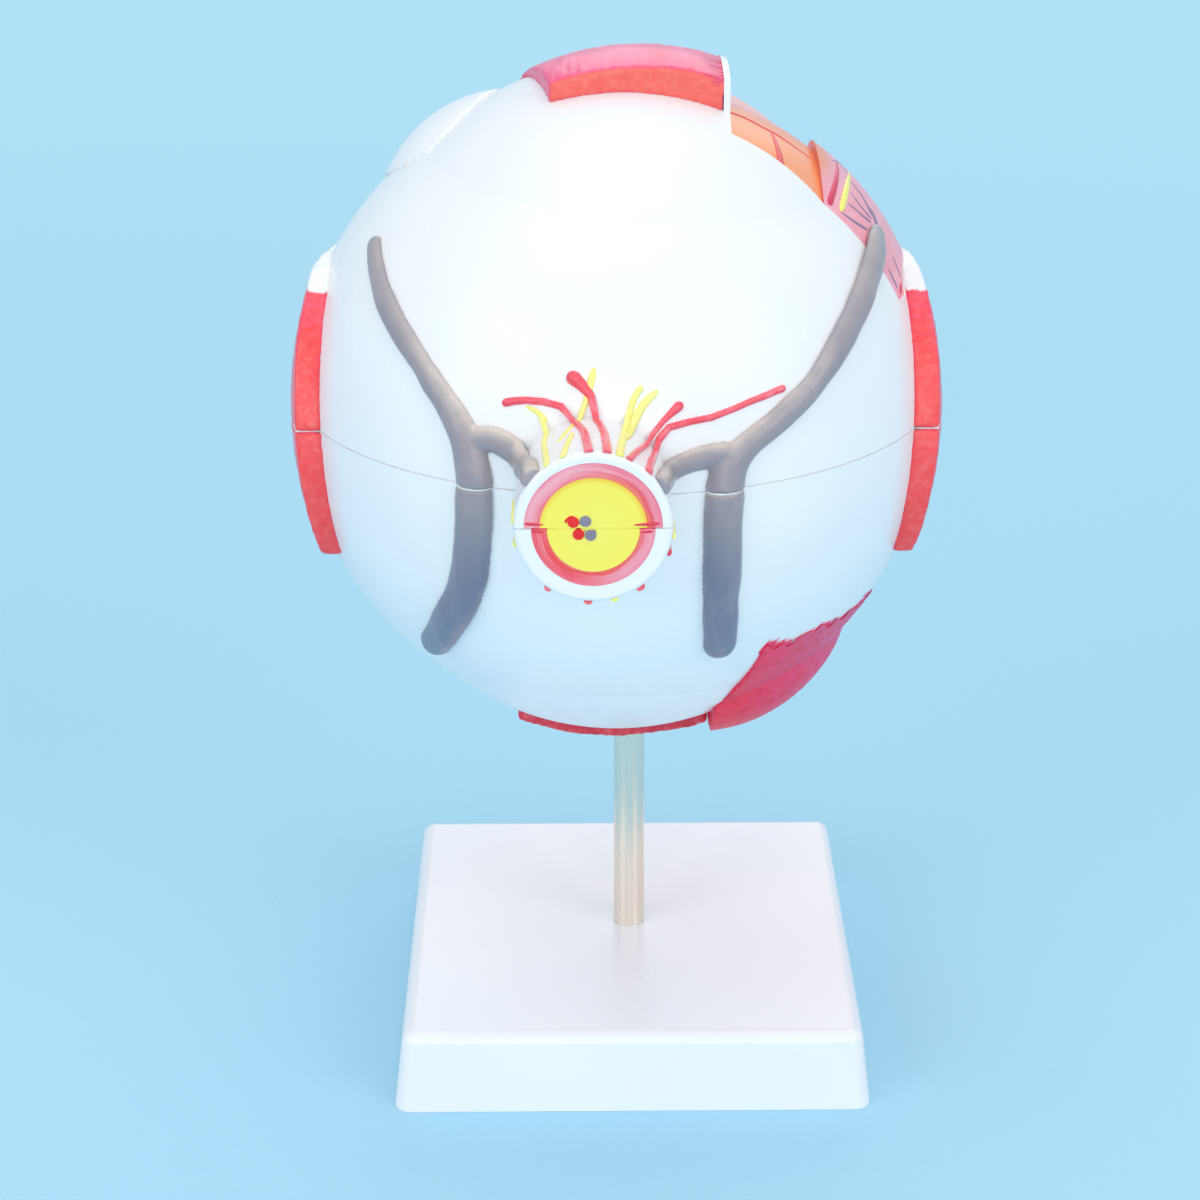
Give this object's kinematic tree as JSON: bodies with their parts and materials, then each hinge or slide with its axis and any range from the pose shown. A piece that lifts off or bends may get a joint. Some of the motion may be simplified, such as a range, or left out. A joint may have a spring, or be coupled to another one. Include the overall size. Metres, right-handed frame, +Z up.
{
  "type": "eye anatomy model",
  "caption": "Enlarged human eye model on a steel rod and square base; the shell parts at its equator and the inner shells, lens and clear body lift out.",
  "frame": {"origin": "centre of the base's underside, on the rod's axis", "axes": "+Z up along the rod; +Y the way the cornea looks; +X the eye's temporal side, so a right eye seen from behind has its nasal side at -X"},
  "size_m": [0.1594, 0.1838, 0.2564],
  "materials": {
    "base_white": "glossy white moulded plastic, hollow and ribbed underneath",
    "rod_steel": "bright drawn steel bar",
    "fastener_steel": "plated steel",
    "sclera_white": "glossy white shell",
    "pin_metal": "bright metal",
    "muscle_red": "glossy red paint with brushed fibres",
    "muscle_deep_red": "glossy deep red paint",
    "vein_grey": "glossy warm grey paint",
    "artery_red": "glossy red paint",
    "nerve_yellow": "glossy pale yellow paint",
    "nerve_core_yellow": "glossy yellow paint",
    "nerve_ring_pink": "glossy pink-red paint",
    "window_orange": "glossy orange paint",
    "window_pink": "glossy pink paint with fine painted vessels",
    "choroid_brown": "satin red-brown paint",
    "retina_orange": "glossy orange paint with fine painted vessels",
    "ciliary_brown": "satin dark brown paint",
    "iris_blue": "glossy blue paint with radial fibres",
    "lens_clear": "clear polished plastic",
    "vitreous_clear": "clear polished plastic",
    "cornea_clear": "clear polished plastic"
  },
  "bodies": {
    "stand": {"base": "base_white", "rod": "rod_steel", "rod_screw": "fastener_steel", "rod_washer": "fastener_steel"},
    "lower_half": {"lower_sclera": "sclera_white", "locating_pins": "pin_metal", "medial_rectus_lower": "muscle_red", "lateral_rectus_lower": "muscle_red", "inferior_rectus": "muscle_red", "inferior_oblique": "muscle_deep_red", "nasal_vein_lower": "vein_grey", "temporal_vein_lower": "vein_grey", "ciliary_arteries_lower": "artery_red", "ciliary_nerves_lower": "nerve_yellow", "optic_nerve_lower": "nerve_core_yellow", "nerve_ring_lower": "nerve_ring_pink", "central_artery_lower": "artery_red", "central_vein_lower": "vein_grey"},
    "inner_lower": {"choroid_lower": "choroid_brown", "retina_lower": "retina_orange", "ciliary_body_lower": "ciliary_brown", "iris_lower": "iris_blue"},
    "vitreous": {"vitreous_body": "vitreous_clear", "lens": "lens_clear"},
    "inner_upper": {"choroid_upper": "choroid_brown", "retina_upper": "retina_orange", "ciliary_body_upper": "ciliary_brown", "iris_upper": "iris_blue"},
    "upper_half": {"upper_sclera": "sclera_white", "cornea": "cornea_clear", "superior_rectus": "muscle_red", "medial_rectus_upper": "muscle_red", "lateral_rectus_upper": "muscle_red", "superior_oblique_tendon": "sclera_white", "window_choroid": "window_orange", "window_vein_field": "window_pink", "nasal_vein_upper": "vein_grey", "temporal_vein_upper": "vein_grey", "ciliary_arteries_upper": "artery_red", "ciliary_nerves_upper": "nerve_yellow", "optic_nerve_upper": "nerve_core_yellow", "nerve_ring_upper": "nerve_ring_pink", "central_artery_upper": "artery_red", "central_vein_upper": "vein_grey"}
  },
  "joints": [
    {"name": "eyeball_swivel", "type": "hinge", "parent": "stand", "child": "lower_half", "pos_m": [0, 0, 0.085], "axis": [0, 0, 1], "continuous": true},
    {"name": "inner_lower_lift", "type": "slide", "parent": "lower_half", "child": "inner_lower", "axis": [0, 0, 1], "range_m": [0, 0.09]},
    {"name": "vitreous_lift", "type": "slide", "parent": "inner_lower", "child": "vitreous", "axis": [0, 0, 1], "range_m": [0, 0.085]},
    {"name": "inner_upper_lift", "type": "slide", "parent": "vitreous", "child": "inner_upper", "axis": [0, 0, 1], "range_m": [0, 0.08]},
    {"name": "upper_half_lift", "type": "slide", "parent": "inner_upper", "child": "upper_half", "axis": [0, 0, 1], "range_m": [0, 0.09]}
  ]
}
